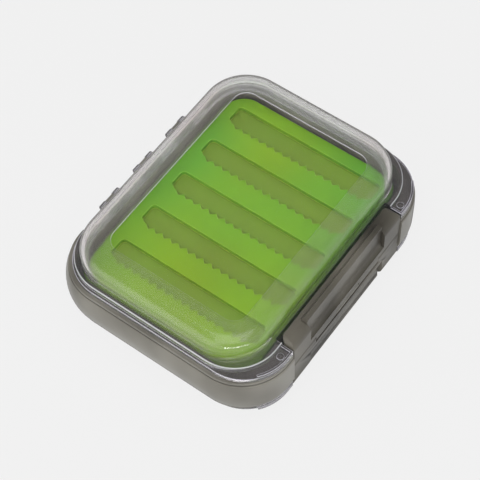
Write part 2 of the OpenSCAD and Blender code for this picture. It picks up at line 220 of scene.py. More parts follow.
def from_middle(tree: NodeTree) -> Node:
    """Distance from the box's middle plane, in metres."""
    place = add_node(tree, "ShaderNodeTexCoord")
    parts = add_node(tree, "ShaderNodeSeparateXYZ", {0: place.outputs["Object"]})
    level = add_node(tree, "ShaderNodeMath", {0: parts.outputs["Z"], 1: MID_Z * MM}, operation="SUBTRACT")
    return add_node(tree, "ShaderNodeMath", {0: level}, operation="ABSOLUTE")


@dataclass(frozen=True)
class DarkEdge:
    """Painted dark edge of a plastic: its colour, Layer Weight's Facing from which it starts, and how dark it gets."""

    colour: str
    start: float
    share: float

    def over(self, tree: NodeTree, surface: Node) -> Node:
        """Paints a dark reflection onto plastic where it turns edge-on, for the room round the tent that it mirrors.

        Args:
            tree: Material's node tree.
            surface: Shader of the plastic.

        Returns:
            The shader with its dark edge.
        """
        # Painted reflection: a dark diffuse shader mixed in where the surface turns edge-on.
        weight = add_node(tree, "ShaderNodeLayerWeight", {"Blend": 0.5}).outputs["Facing"]
        ends = {"From Min": self.start, "To Max": self.share, "Value": weight}
        ramp = add_node(tree, "ShaderNodeMapRange", ends, interpolation_type="SMOOTHSTEP")
        dark = add_node(tree, "ShaderNodeBsdfDiffuse", {"Color": linear(self.colour)})
        return add_node(tree, "ShaderNodeMixShader", {0: ramp, 1: surface, 2: dark})


@dataclass(frozen=True)
class Finish:
    """What every finish has: its name, its colour, how rough it is and how much it bends light."""

    name: str
    colour: str
    roughness: float
    ior: float = 1.5

    def start(self, inputs: Optional[dict] = None) -> tuple[Material, NodeTree, Node, Node]:
        """Makes the material with a Principled shader.

        Args:
            inputs: Further constants of the shader.

        Returns:
            The material, its tree, the shader and the output node.
        """
        material = bpy.data.materials.new(self.name)
        material.diffuse_color = linear(self.colour)
        tree = cleared_tree(material)
        own = {"Base Color": linear(self.colour), "Roughness": self.roughness, "IOR": self.ior}
        shader = add_node(tree, "ShaderNodeBsdfPrincipled", {**own, **(inputs or {})})
        output = add_node(tree, "ShaderNodeOutputMaterial", {"Surface": shader})
        return material, tree, shader, output


@dataclass(frozen=True)
class ClearPolycarbonate(Finish):
    """Injection-moulded clear polycarbonate: glass-clear with sharp highlights, faint stress colours, painted sheen
    and painted shade.
    """

    tint: str = "#FFFFFF"
    other_tint: str = "#FFF6F8"
    band_mm: float = 34.0
    shadow: float = 0.92
    window_mid: tuple[float, float] = (0.0, 0.8)
    window_half: tuple[float, float] = (44.7, 31.3)
    window_r: float = 6.2
    window_edge: float = 0.3
    window_z: float = 25.0
    haze_above: float = 15.5
    haze_roughness: float = 0.13
    haze: float = 0.03
    milk: str = "#F4F4F4"
    sheen: float = 0.9
    sheen_power: float = 1.6
    sheen_slope: tuple[float, float] = (0.35, 0.65)
    sheen_tint: str = "#A6A29F"
    slant_from: float = 0.8
    edge: DarkEdge = DarkEdge("#3C3A3C", 0.86, 0.85)
    rim_tint: str = "#A8A4AA"
    rim_haze: float = 0.05
    shade_tint: str = "#181A18"
    shade_y: float = -41.5
    shade_half_x: float = 36.8

    def shoulder(self, tree: NodeTree) -> Node:
        """How much a place belongs to the shoulder: 0 on the polished window and below the dome's foot."""
        place = add_node(tree, "ShaderNodeTexCoord").outputs["Object"]
        mid = (self.window_mid[0] * MM, self.window_mid[1] * MM, MID_Z * MM)
        straight = [(half - self.window_r) * MM for half in self.window_half]
        moved = add_node(tree, "ShaderNodeVectorMath", {0: place, 1: mid}, operation="SUBTRACT")
        folded = add_node(tree, "ShaderNodeVectorMath", {0: moved}, operation="ABSOLUTE")
        past = add_node(tree, "ShaderNodeVectorMath", {0: folded, 1: (*straight, 1.0)}, operation="SUBTRACT")
        corner = add_node(tree, "ShaderNodeVectorMath", {0: past, 1: (0, 0, 0)}, operation="MAXIMUM")
        reach = add_node(tree, "ShaderNodeVectorMath", {0: corner}, operation="LENGTH").outputs["Value"]
        ends = {"From Min": self.window_r * MM, "From Max": (self.window_r + self.window_edge) * MM}
        outside = add_node(tree, "ShaderNodeMapRange", {**ends, "Value": reach})
        height = add_node(tree, "ShaderNodeSeparateXYZ", {0: folded}).outputs["Z"]
        above = add_node(tree, "ShaderNodeMath", {0: height, 1: self.haze_above * MM}, operation="GREATER_THAN")
        return add_node(tree, "ShaderNodeMath", {0: outside, 1: above}, operation="MULTIPLY")

    def below_dome(self, tree: NodeTree, colour: NodeSocket, low: Node) -> NodeSocket:
        """Greys the thick bead and flange, and paints the hook's shade as a dark colour on the bead's side behind the
        hook.

        Args:
            tree: Material's node tree.
            colour: Colour of the plastic above them.
            low: 1 below the dome's foot.

        Returns:
            The colour with both places in it.
        """
        rim = add_node(tree, "ShaderNodeMix", {0: low, 6: colour, 7: linear(self.rim_tint)}, data_type="RGBA")
        # Painted shade: the bead's side behind the hook, where the hook's shade falls, is coloured near black.
        place = add_node(tree, "ShaderNodeTexCoord")
        parts = add_node(tree, "ShaderNodeSeparateXYZ", {0: place.outputs["Object"]})
        across = add_node(tree, "ShaderNodeMath", {0: parts.outputs["X"]}, operation="ABSOLUTE")
        front = add_node(tree, "ShaderNodeMath", {0: parts.outputs["Y"], 1: self.shade_y * MM}, operation="LESS_THAN")
        behind_hook = add_node(tree, "ShaderNodeMath", {0: across, 1: self.shade_half_x * MM}, operation="LESS_THAN")
        shaded = add_node(tree, "ShaderNodeMath", {0: front, 1: behind_hook}, operation="MULTIPLY")
        both = {0: shaded, 6: rim.outputs[2], 7: linear(self.shade_tint)}
        return add_node(tree, "ShaderNodeMix", both, data_type="RGBA").outputs[2]

    def hazed(self, tree: NodeTree, surface: Node, shoulder: Node, low: Node) -> Node:
        """Adds the faint milkiness of the bead and of the dome, which grows towards the window.

        Args:
            tree: Material's node tree.
            surface: Shader of the clear plastic.
            shoulder: How much a place belongs to the shoulder.
            low: 1 below the dome's foot.

        Returns:
            The shader with its haze.
        """
        milk = add_node(tree, "ShaderNodeBsdfTranslucent", {"Color": linear(self.milk)})
        white = add_node(tree, "ShaderNodeBsdfDiffuse", {"Color": linear(self.milk)})
        veil = add_node(tree, "ShaderNodeMixShader", {1: milk, 2: white})
        ends = {"From Min": self.haze_above * MM, "From Max": self.window_z * MM, "To Max": self.haze}
        upper = add_node(tree, "ShaderNodeMapRange", {**ends, "Value": from_middle(tree)})
        dome = add_node(tree, "ShaderNodeMath", {0: shoulder, 1: upper}, operation="MULTIPLY")
        depth = add_node(tree, "ShaderNodeMath", {0: low, 1: self.rim_haze, 2: dome}, operation="MULTIPLY_ADD")
        return add_node(tree, "ShaderNodeMixShader", {0: depth, 1: surface, 2: veil})

    def sheened(self, tree: NodeTree, surface: Node, shoulder: Node, slant: NodeSocket) -> Node:
        """Adds a painted grey sheen to the shoulder's curve where it is seen at a slant.

        Args:
            tree: Material's node tree.
            surface: Shader of the clear plastic.
            shoulder: How much a place belongs to the shoulder.
            slant: Layer Weight's Facing.

        Returns:
            The shader with its sheen.
        """
        normal = add_node(tree, "ShaderNodeTexCoord").outputs["Normal"]
        upward = add_node(tree, "ShaderNodeSeparateXYZ", {0: normal}).outputs["Z"]
        level = add_node(tree, "ShaderNodeMath", {0: upward}, operation="ABSOLUTE")
        ends = {"From Min": self.sheen_slope[0], "From Max": self.sheen_slope[1], "Value": level}
        curved = add_node(tree, "ShaderNodeMapRange", ends, interpolation_type="SMOOTHSTEP")
        steep = add_node(tree, "ShaderNodeMath", {0: slant, 1: self.sheen_power}, operation="POWER")
        amount = shoulder
        for share in (curved, steep, self.sheen):
            amount = add_node(tree, "ShaderNodeMath", {0: amount, 1: share}, operation="MULTIPLY")
        # Painted sheen: a grey diffuse mixed in by slant on the shoulder.
        grey = add_node(tree, "ShaderNodeBsdfDiffuse", {"Color": linear(self.sheen_tint)})
        return add_node(tree, "ShaderNodeMixShader", {0: amount, 1: surface, 2: grey})

    def make(self) -> Material:
        """Makes a refracting shell that lets the studio light through to what lies under it."""
        material, tree, shader, output = self.start({"Transmission Weight": 1.0})
        shoulder = self.shoulder(tree)
        low = add_node(tree, "ShaderNodeMath", {0: from_middle(tree), 1: self.haze_above * MM}, operation="LESS_THAN")
        ends = {"To Min": self.roughness, "To Max": self.haze_roughness, "Value": shoulder}
        rough = add_node(tree, "ShaderNodeMapRange", ends)
        bands = drift(tree, self.band_mm, 1.0, 0.15, self.tint, self.other_tint)
        # Painted dark edge: the base colour darkens towards the edge colour where the plastic is seen edge-on.
        slant = add_node(tree, "ShaderNodeLayerWeight", {"Blend": 0.5}).outputs["Facing"]
        slanted = {"From Min": self.slant_from, "Value": slant}
        thick = add_node(tree, "ShaderNodeMapRange", slanted, interpolation_type="SMOOTHSTEP")
        both = {0: thick, 6: bands, 7: linear(self.edge.colour)}
        tinted = add_node(tree, "ShaderNodeMix", both, data_type="RGBA", blend_type="MULTIPLY").outputs[2]
        feed(tree, shader, {"Roughness": rough, "Base Color": self.below_dome(tree, tinted, low)})
        hazed = self.hazed(tree, shader, shoulder, low)
        edged = self.edge.over(tree, self.sheened(tree, hazed, shoulder, slant))
        path = add_node(tree, "ShaderNodeLightPath").outputs["Is Shadow Ray"]
        clear = add_node(tree, "ShaderNodeBsdfTransparent", {"Color": (self.shadow, self.shadow, self.shadow, 1)})
        feed(tree, output, {"Surface": add_node(tree, "ShaderNodeMixShader", {0: path, 1: edged, 2: clear})})
        return material


@dataclass(frozen=True)
class PolishedEdge(Finish):
    """Rounded edge of moulded polycarbonate: a pale line of painted highlight, for the light that runs in the wall."""

    transmission: float = 0.4
    edge: DarkEdge = DarkEdge("#2C2A2C", 0.55, 0.9)

    def make(self) -> Material:
        """Makes the pale edge of painted highlight, partly clear, with its painted dark edge."""
        material, tree, shader, output = self.start({"Transmission Weight": self.transmission})
        feed(tree, output, {"Surface": self.edge.over(tree, shader)})
        return material


@dataclass(frozen=True)
class SmokyPlastic(Finish):
    """Smoke-tinted moulded ABS: grey-brown with a satin gloss, cloudier where the wall is thick."""

    dark: str = "#3C3932"
    cloud_mm: float = 26.0
    coat: float = 0.25
    nook_mm: float = 0.9
    nook_share: float = 0.85
    edge: DarkEdge = DarkEdge("#2E2C28", 0.84, 0.7)

    def make(self) -> Material:
        """Makes the tinted plastic with its slow change of depth, painted shade in its nooks and a painted dark edge.
        """
        material, tree, shader, output = self.start({"Coat Weight": self.coat, "Coat Roughness": 0.05})
        clouds = drift(tree, self.cloud_mm, 1.5, 0.2, self.dark, self.colour)
        # Painted shade in the nooks.
        feed(tree, shader, {"Base Color": in_nooks(tree, clouds, self.nook_mm, self.nook_share)})
        feed(tree, output, {"Surface": self.edge.over(tree, shader)})
        return material


@dataclass(frozen=True)
class Silicone(Finish):
    """Moulded silicone rubber: satin, with a green that drifts from yellow to blue.

    Its skin is drawn coarser than the real one, which is too fine to show.
    """

    blue_side: str = "#64A42C"
    thin: str = "#74942C"
    thin_below_mm: float = 1.9
    thick_above_mm: float = 2.6
    drift_mm: float = 60.0
    skin_mm: float = 0.9
    nook_mm: float = 0.9
    nook_share: float = 0.75

    def make(self) -> Material:
        """Makes the soft rubber: colour drift, skin, painted shade in its nooks, and darker thin pocket floors, partly
        the dark frame showing through and partly painted shade.
        """
        depths = {"Weight": 0.12, "Radius": (0.5, 1.0, 0.25), "Scale": 1.2 * MM}
        material, tree, shader, _ = self.start({f"Subsurface {name}": value for name, value in depths.items()})
        greens = drift(tree, self.drift_mm, 0.5, 0.14, self.colour, self.blue_side)
        # Pocket floors darker: partly the dark frame showing through the thin rubber, partly painted shade.
        ends = {"From Min": self.thin_below_mm * MM, "From Max": self.thick_above_mm * MM}
        bars = {**ends, "Value": from_middle(tree)}
        thickness = add_node(tree, "ShaderNodeMapRange", bars, interpolation_type="SMOOTHSTEP")
        both = {0: thickness, 6: linear(self.thin), 7: greens}
        whole = add_node(tree, "ShaderNodeMix", both, data_type="RGBA").outputs[2]
        skin = noise_mm(tree, self.skin_mm, 2.0)
        bump = add_node(tree, "ShaderNodeBump", {"Strength": 0.08, "Distance": 0.1 * MM, "Height": skin})
        # Painted shade in the nooks.
        feed(tree, shader, {"Base Color": in_nooks(tree, whole, self.nook_mm, self.nook_share), "Normal": bump})
        return material


@dataclass(frozen=True)
class TurnedSteel(Finish):
    """Plain stainless pin stock: turned, so its gloss runs in rings, drawn coarser than real ones to show."""

    ring_mm: float = 0.25

    def make(self) -> Material:
        """Makes the steel with its turned rings."""
        material, tree, shader, _ = self.start({"Metallic": 1.0})
        rings = noise_mm(tree, self.ring_mm, 1.0, (1, 0.2, 0.2))
        bump = add_node(tree, "ShaderNodeBump", {"Strength": 0.15, "Distance": 0.02 * MM, "Height": rings})
        feed(tree, shader, {"Normal": bump})
        return material


# ----------------------------------------
# Mesh code


def quarter(steps: int) -> list[tuple[float, float]]:
    """Sine and cosine at each step of a quarter turn."""
    return [(math.sin(math.pi / 2 * i / steps), math.cos(math.pi / 2 * i / steps)) for i in range(steps + 1)]


def circle_points(y: float, z: float, radius: float, first: float = 0, last: float = 360, steps: int = 32) -> list:
    """Points (y, z) of an arc in degrees, without its last point where the arc is a whole circle."""
    count = steps if abs(last - first) >= 360 else steps + 1
    turns = [math.radians(first + (last - first) * i / steps) for i in range(count)]
    return [(y + radius * math.cos(a), z + radius * math.sin(a)) for a in turns]


@dataclass(frozen=True)
class Loop:
    """A rounded rectangle at one height: half its length, its latch and hinge edges, corner radius, height."""

    half_x: float
    latch_y: float
    hinge_y: float
    radius: float
    z: float

    def inset(self, by: float, z: float) -> "Loop":
        """The same outline moved in by a distance, at another height."""
        return Loop(self.half_x - by, self.latch_y + by, self.hinge_y - by, self.radius - by, z)

    def toward(self, other: "Loop", share: float, rise: float) -> "Loop":
        """A loop that is a share of the way to another in plan, and another share in height."""
        ends = zip(astuple(self), astuple(other), (share, share, share, share, rise))
        return Loop(*(a + (b - a) * part for a, b, part in ends))

    def points(self, steps: int) -> list[Vector]:
        """Points of the loop in millimetres, counter-clockwise from above.

        Args:
            steps: Steps in each corner's arc.

        Returns:
            The points.
        """
        r = self.radius
        x0, y0, y1 = self.half_x - r, self.latch_y + r, self.hinge_y - r
        corners = ((x0, y1, 0), (-x0, y1, 90), (-x0, y0, 180), (x0, y0, 270))
        flat = [spot for x, y, first in corners for spot in circle_points(x, y, r, first, first + 90, steps)]
        return [Vector((x, y, self.z)) for x, y in flat]


def round_edge(start: Loop, radius: float, steps: int, outward: bool, upward: bool) -> list[Loop]:
    """Loops of a quarter-round edge.

    Args:
        start: Outline of the vertical wall, at the height of the edge's corner.
        radius: Radius of the round.
        steps: Steps in the quarter.
        outward: True if the wall faces out of the outline, so that the flat lies inside it.
        upward: True if the flat faces up.

    Returns:
        Loops from the wall to the flat.
    """
    side, rise = radius if outward else -radius, radius if upward else -radius
    return [start.inset(side * (1 - cos), start.z - rise * (1 - sin)) for sin, cos in quarter(steps)]


def new_piece(name: str, mesh: Mesh) -> Object:
    """Links a new object that holds the mesh."""
    made = bpy.data.objects.new(name, mesh)
    bpy.context.scene.collection.objects.link(made)
    return made


def solid(name: str, bm: bmesh.types.BMesh) -> Object:
    """Makes an object of a closed mesh, with its normals outwards."""
    bmesh.ops.recalc_face_normals(bm, faces=bm.faces)
    mesh = bpy.data.meshes.new(name)
    bm.to_mesh(mesh)
    bm.free()
    return new_piece(name, mesh)


def loft(name: str, loops: Sequence[Loop], steps: int) -> Object:
    """Skins loops into one closed solid, with a flat cap at each end.

    Args:
        name: Name of the object.
        loops: Loops in order along the skin, the first and the last capped.
        steps: Steps in each corner's arc.

    Returns:
        The new object, in metres.
    """
    bm = bmesh.new()
    rings = [[bm.verts.new(p * MM) for p in lp.points(steps)] for lp in loops]
    for low, high in zip(rings, rings[1:]):
        for i in range(len(low)):
            j = (i + 1) % len(low)
            bm.faces.new((low[i], low[j], high[j], high[i]))
    bm.faces.new(rings[0][::-1])
    bm.faces.new(rings[-1])
    return solid(name, bm)


class Axis(Enum):
    """Axes to extrude along, each with the order that puts (first, second, along) into (x, y, z)."""

    X = (2, 0, 1)
    Y = (0, 2, 1)
    Z = (0, 1, 2)


def prism(
    name: str, outline: Sequence, low: float, high: float, axis: Axis = Axis.X, round_mm: float = 0.0
) -> Object:
    """A closed prism.

    Args:
        name: Name of the object.
        outline: Outline in millimetres: (y, z) along X, (x, z) along Y and (x, y) along Z.
        low: Where the prism starts.
        high: Where it ends.
        axis: Axis that it runs along.
        round_mm: Radius of its rounded edges, or 0 for none.

    Returns:
        The new object, in metres.
    """
    bm = bmesh.new()
    ends = []
    for along in (low, high):
        spots = [(a, b, along) for a, b in outline]
        ends.append([bm.verts.new(Vector([spot[i] for i in axis.value]) * MM) for spot in spots])
    for i in range(len(outline)):
        j = (i + 1) % len(outline)
        bm.faces.new((ends[0][i], ends[0][j], ends[1][j], ends[1][i]))
    bm.faces.new(ends[0])
    bm.faces.new(ends[1])
    made = solid(name, bm)
    return bevelled(made, round_mm, 40.0) if round_mm > 0 else made


def box_mm(name: str, low: Sequence[float], high: Sequence[float]) -> Object:
    """A cutter block between two corners."""
    (x0, y0, z0), (x1, y1, z1) = low, high
    return prism(name, ((y0, z0), (y1, z0), (y1, z1), (y0, z1)), x0, x1)


def filleted(corners: Sequence[tuple[float, float, float]], steps: int = 4) -> list[tuple[float, float]]:
    """Rounds the corners of an outline.

    Args:
        corners: Points (y, z, radius) of the outline, in order.
        steps: Steps in each rounded corner.

    Returns:
        The outline's points.
    """
    made: list[tuple[float, float]] = []
    count = len(corners)
    for i, (y, z, radius) in enumerate(corners):
        here = Vector((y, z))
        before = (Vector(corners[i - 1][:2]) - here).normalized()
        after = (Vector(corners[(i + 1) % count][:2]) - here).normalized()
        if radius <= 0:
            made.append((y, z))
            continue
        half = before.angle(after) / 2
        reach = radius / math.tan(half)
        centre = here + (before + after).normalized() * (radius / math.sin(half))
        start = (here + before * reach) - centre
        turn = start.angle_signed(here + after * reach - centre)
        for k in range(steps + 1):
            a = -turn * k / steps
            spun = Matrix.Rotation(a, 2) @ start
            made.append((centre.x + spun.x, centre.y + spun.y))
    return made


def combine(body: Object, tools: Sequence[Object], how: Join) -> Object:
    """Adds, cuts or intersects solids, and removes the tools.

    Args:
        body: Solid that is changed.
        tools: Solids that change it.
        how: Which way they are combined.

    Returns:
        The same object with its new mesh.
    """
    for tool in tools:
        step = body.modifiers.new("combine", "BOOLEAN")
        step.operation = how.value
        step.solver = "EXACT"
        step.object = tool
        bake(body)
        bpy.data.objects.remove(tool)
    return body


def bake(piece: Object) -> Object:
    """Turns a piece's modifiers into its mesh."""
    depsgraph = bpy.context.evaluated_depsgraph_get()
    depsgraph.update()
    old = piece.data
    made = bpy.data.meshes.new_from_object(piece.evaluated_get(depsgraph), depsgraph=depsgraph)
    made.name = old.name
    piece.modifiers.clear()
    piece.data = made
    bpy.data.meshes.remove(old)
    return piece


def add_slots(piece: Object, *materials: Optional[Material]) -> None:
    """Adds material slots to a piece, empty ones for None."""
    for material in materials:
        piece.data.materials.append(material)


def bevelled(piece: Object, width_mm: float, angle: float, **settings: object) -> Object:
    """Rounds a piece's sharp edges.

    Args:
        piece: Piece to round.
        width_mm: Width of the rounded edge.
        angle: Edges sharper than this many degrees are rounded.
        settings: Other settings of the rounding.

    Returns:
        The same object.
    """
    bevel = piece.modifiers.new("edges", "BEVEL")
    bevel.width, bevel.segments = width_mm * MM, EDGE_SEGMENTS
    bevel.limit_method, bevel.angle_limit = "ANGLE", math.radians(angle)
    for name, value in settings.items():
        setattr(bevel, name, value)
    return bake(piece)


def soften(piece: Object, radius_mm: float, angle: float = 35.0) -> Object:
    """Rounds a moulding's edges and shades it smooth between them.

    Args:
        piece: Moulding to round.
        radius_mm: Width of the rounded edge, or 0 for none.
        angle: Edges sharper than this many degrees are rounded and stay crisp.

    Returns:
        The same object.
    """
    bm = bmesh.new()
    bm.from_mesh(piece.data)
    bmesh.ops.remove_doubles(bm, verts=bm.verts, dist=WELD * MM)
    bmesh.ops.dissolve_limit(bm, angle_limit=math.radians(FLAT_DEG), verts=bm.verts, edges=bm.edges)
    bm.to_mesh(piece.data)
    bm.free()
    # The rounded edges take the second slot, which dress fills with a material of painted highlight.
    if radius_mm > 0:
        piece.data.materials.clear()
        add_slots(piece, None, None)
        piece.data.polygons.foreach_set("material_index", [0] * len(piece.data.polygons))
        bevelled(piece, radius_mm, angle, material=1, use_clamp_overlap=True, miter_outer="MITER_ARC")
    mesh = piece.data
    mesh.shade_smooth()
    mesh.set_sharp_from_angle(angle=math.radians(angle))
    weighted = piece.modifiers.new("normals", "WEIGHTED_NORMAL")
    weighted.keep_sharp = True
    return bake(piece)


def faced(piece: Object, face: Face) -> Object:
    """The piece itself for the top face, and a copy mirrored through the box's middle plane for the other."""
    if face is Face.TOP:
        return piece
    mesh = piece.data.copy()
    mesh.name = piece.name.replace(Face.TOP.word, face.word)
    mesh.transform(Matrix.Diagonal((1, 1, -1, 1)))
    mesh.flip_normals()
    return new_piece(mesh.name, mesh)


def seat(piece: Object) -> Object:
    """Moves a piece's mesh from heights about the middle to heights above the floor."""
    piece.data.transform(Matrix.Translation((0, 0, MID_Z * MM)))
    piece.data.update()
    return piece


def dress(piece: Object, *materials: Material) -> None:
    """Gives a piece its material, and a second one for the edges that are marked for it.

    Args:
        piece: Piece to dress.
        materials: The material of its faces and, where it has marked edges, theirs.
    """
    faces = piece.data.polygons
    marks = [0] * len(faces)
    faces.foreach_get("material_index", marks)
    piece.data.materials.clear()
    add_slots(piece, *materials)
    faces.foreach_set("material_index", [min(mark, len(materials) - 1) for mark in marks])


def hand_over(piece: Object, body: str, node: str) -> None:
    """Lets a piece stand for its CAD node.

    Args:
        piece: Finished piece, in place.
        body: Body that it moves with.
        node: CAD node that it stands for.
    """
    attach(piece, body)
    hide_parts(node)
    log.info("%s stands for %s on %s: %d faces", piece.name, node, body, len(piece.data.polygons))


# ----------------------------------------
# The box


@dataclass(frozen=True)
class Hinges:
    """Hinge stations along the box's hinge side."""

    pitch: float = 21.4
    axis_y: float = 48.6
    axis_z: float = 10.2
    bay_y: float = 46.0
    bay_x: float = 76.6
    lid_r: float = 2.2
    lid_from: float = 2.4
    lid_len: float = 3.0
    frame_r: float = 1.9
    frame_len: float = 4.2
    bore_r: float = 1.05

    def stations(self) -> list[float]:
        """X of each station's middle."""
        return [i * self.pitch for i in (-1, 0, 1)]


@dataclass(frozen=True)
class LatchLine:
    """The line of knuckles on which both latches turn."""

    pin_y: float = -47.7
    knuckle_r: float = 1.85
    bore_r: float = 1.05
    bore_half: float = 39.65
    bay_x: float = 73.2
    bay_y: float = -45.45
    frame_len: float = 15.4
    gap: float = 0.2
    upper_len: float = 13.4
    latch_x: float = 72.0
    foot_z: float = 2.05

    def span(self, face: Face) -> tuple[float, float]:
        """Where one face's knuckle starts and ends on each side of the middle."""
        upper = self.frame_len / 2 + self.gap
        if face is Face.TOP:
            return upper, upper + self.upper_len
        return upper + self.upper_len + self.gap, self.latch_x / 2


@dataclass
class CenterFrame:
    """Smoky ring with a floor at its middle, a bay for the latches and a bay for the hinges."""

    hinges: Hinges
    latches: LatchLine
    lip: Loop = Loop(60.9, -49.6, 49.6, 21.0, 10.0)
    room: Loop = Loop(56.2, -41.65, 44.4, 12.0, 10.0)
    floor_z: float = 1.0
    edge_r: float = 0.3
    band_h: float = 1.5
    band_step: float = 0.3
    groove: float = 0.4
    round_r: float = 0.14
    bulge: float = 2.0
    latch_side_bulge: float = 0.6
    barrel_steps: int = 16
    corner_steps: int = 20

    def wall_loops(self) -> list[Loop]:
        """Loops from the floor's middle up the room's wall, over the lip and down to mid height."""
        rounds = quarter(3)
        made = [self.room.inset(self.edge_r * (1 - s), self.floor_z + self.edge_r * (1 - c)) for s, c in rounds]
        made += round_edge(self.room, self.edge_r, 3, False, True)
        made += round_edge(self.lip, self.edge_r, 3, True, True)[::-1]
        top = self.lip.z - self.band_h
        made += [self.lip.inset(0, top + self.groove), self.lip.inset(self.groove, top)]
        rise = self.bulge - self.band_step
        r = (top * top + rise * rise) / (2 * rise)
        for i in range(self.barrel_steps + 1):
            z = top * (1 - i / self.barrel_steps)
            out = self.band_step + rise - r + math.sqrt(r * r - z * z)
            wall = self.lip.inset(-out, z - (self.groove / 2 if i == 0 else 0))
            made.append(replace(wall, latch_y=max(wall.latch_y, self.lip.latch_y - self.latch_side_bulge)))
        return made

    def build(self) -> Object:
        """Builds the frame as one closed moulding."""
        upper = self.wall_loops()
        lower = [lp.inset(0, -lp.z) for lp in reversed(upper[:-1])]
        body = loft("center_frame_moulding", upper + lower, self.corner_steps)
        hg, lt = self.hinges, self.latches
        cutters = [
            box_mm("latch_bay", (-lt.bay_x / 2, -FAR, -FAR), (lt.bay_x / 2, lt.bay_y, FAR)),
            box_mm("hinge_bay", (-hg.bay_x / 2, hg.bay_y, -FAR), (hg.bay_x / 2, FAR, FAR)),
        ]
        combine(body, cutters, Join.CUT)
        half = lt.frame_len / 2
        top, bottom = lt.knuckle_r, -lt.knuckle_r
        knuckle = [(lt.bay_y + LAP, bottom), (lt.bay_y + LAP, top), (lt.pin_y, top)]
        knuckle += circle_points(lt.pin_y, 0, lt.knuckle_r, 100, 270, 16)
        arms = [self.hinge_arm(x, face) for face in Face for x in hg.stations()]
        combine(body, [prism("latch_knuckle", knuckle, -half, half), *arms], Join.ADD)
        bores = [prism("pin_bore", circle_points(lt.pin_y, 0, lt.bore_r), -lt.bore_half, lt.bore_half)]
        for face in Face:
            circle = circle_points(hg.axis_y, face.value * hg.axis_z, hg.bore_r)
            bores.append(prism("hinge_bore", circle, -hg.bay_x / 2, hg.bay_x / 2))
        combine(body, bores, Join.CUT)
        return seat(soften(body, self.round_r))

    def hinge_arm(self, x: float, face: Face) -> Object:
        """One knuckle of the frame with the arm that carries it."""
        hg = self.hinges
        arc = circle_points(hg.axis_y, hg.axis_z, hg.frame_r, 180, -90, 24)
        outline = [(hg.bay_y - LAP, hg.axis_z), *arc, (hg.bay_y - LAP, hg.axis_z - hg.frame_r)]
        outline = [(y, z * face.value) for y, z in outline]
        return prism("hinge_arm", outline, x - hg.frame_len / 2, x + hg.frame_len / 2)


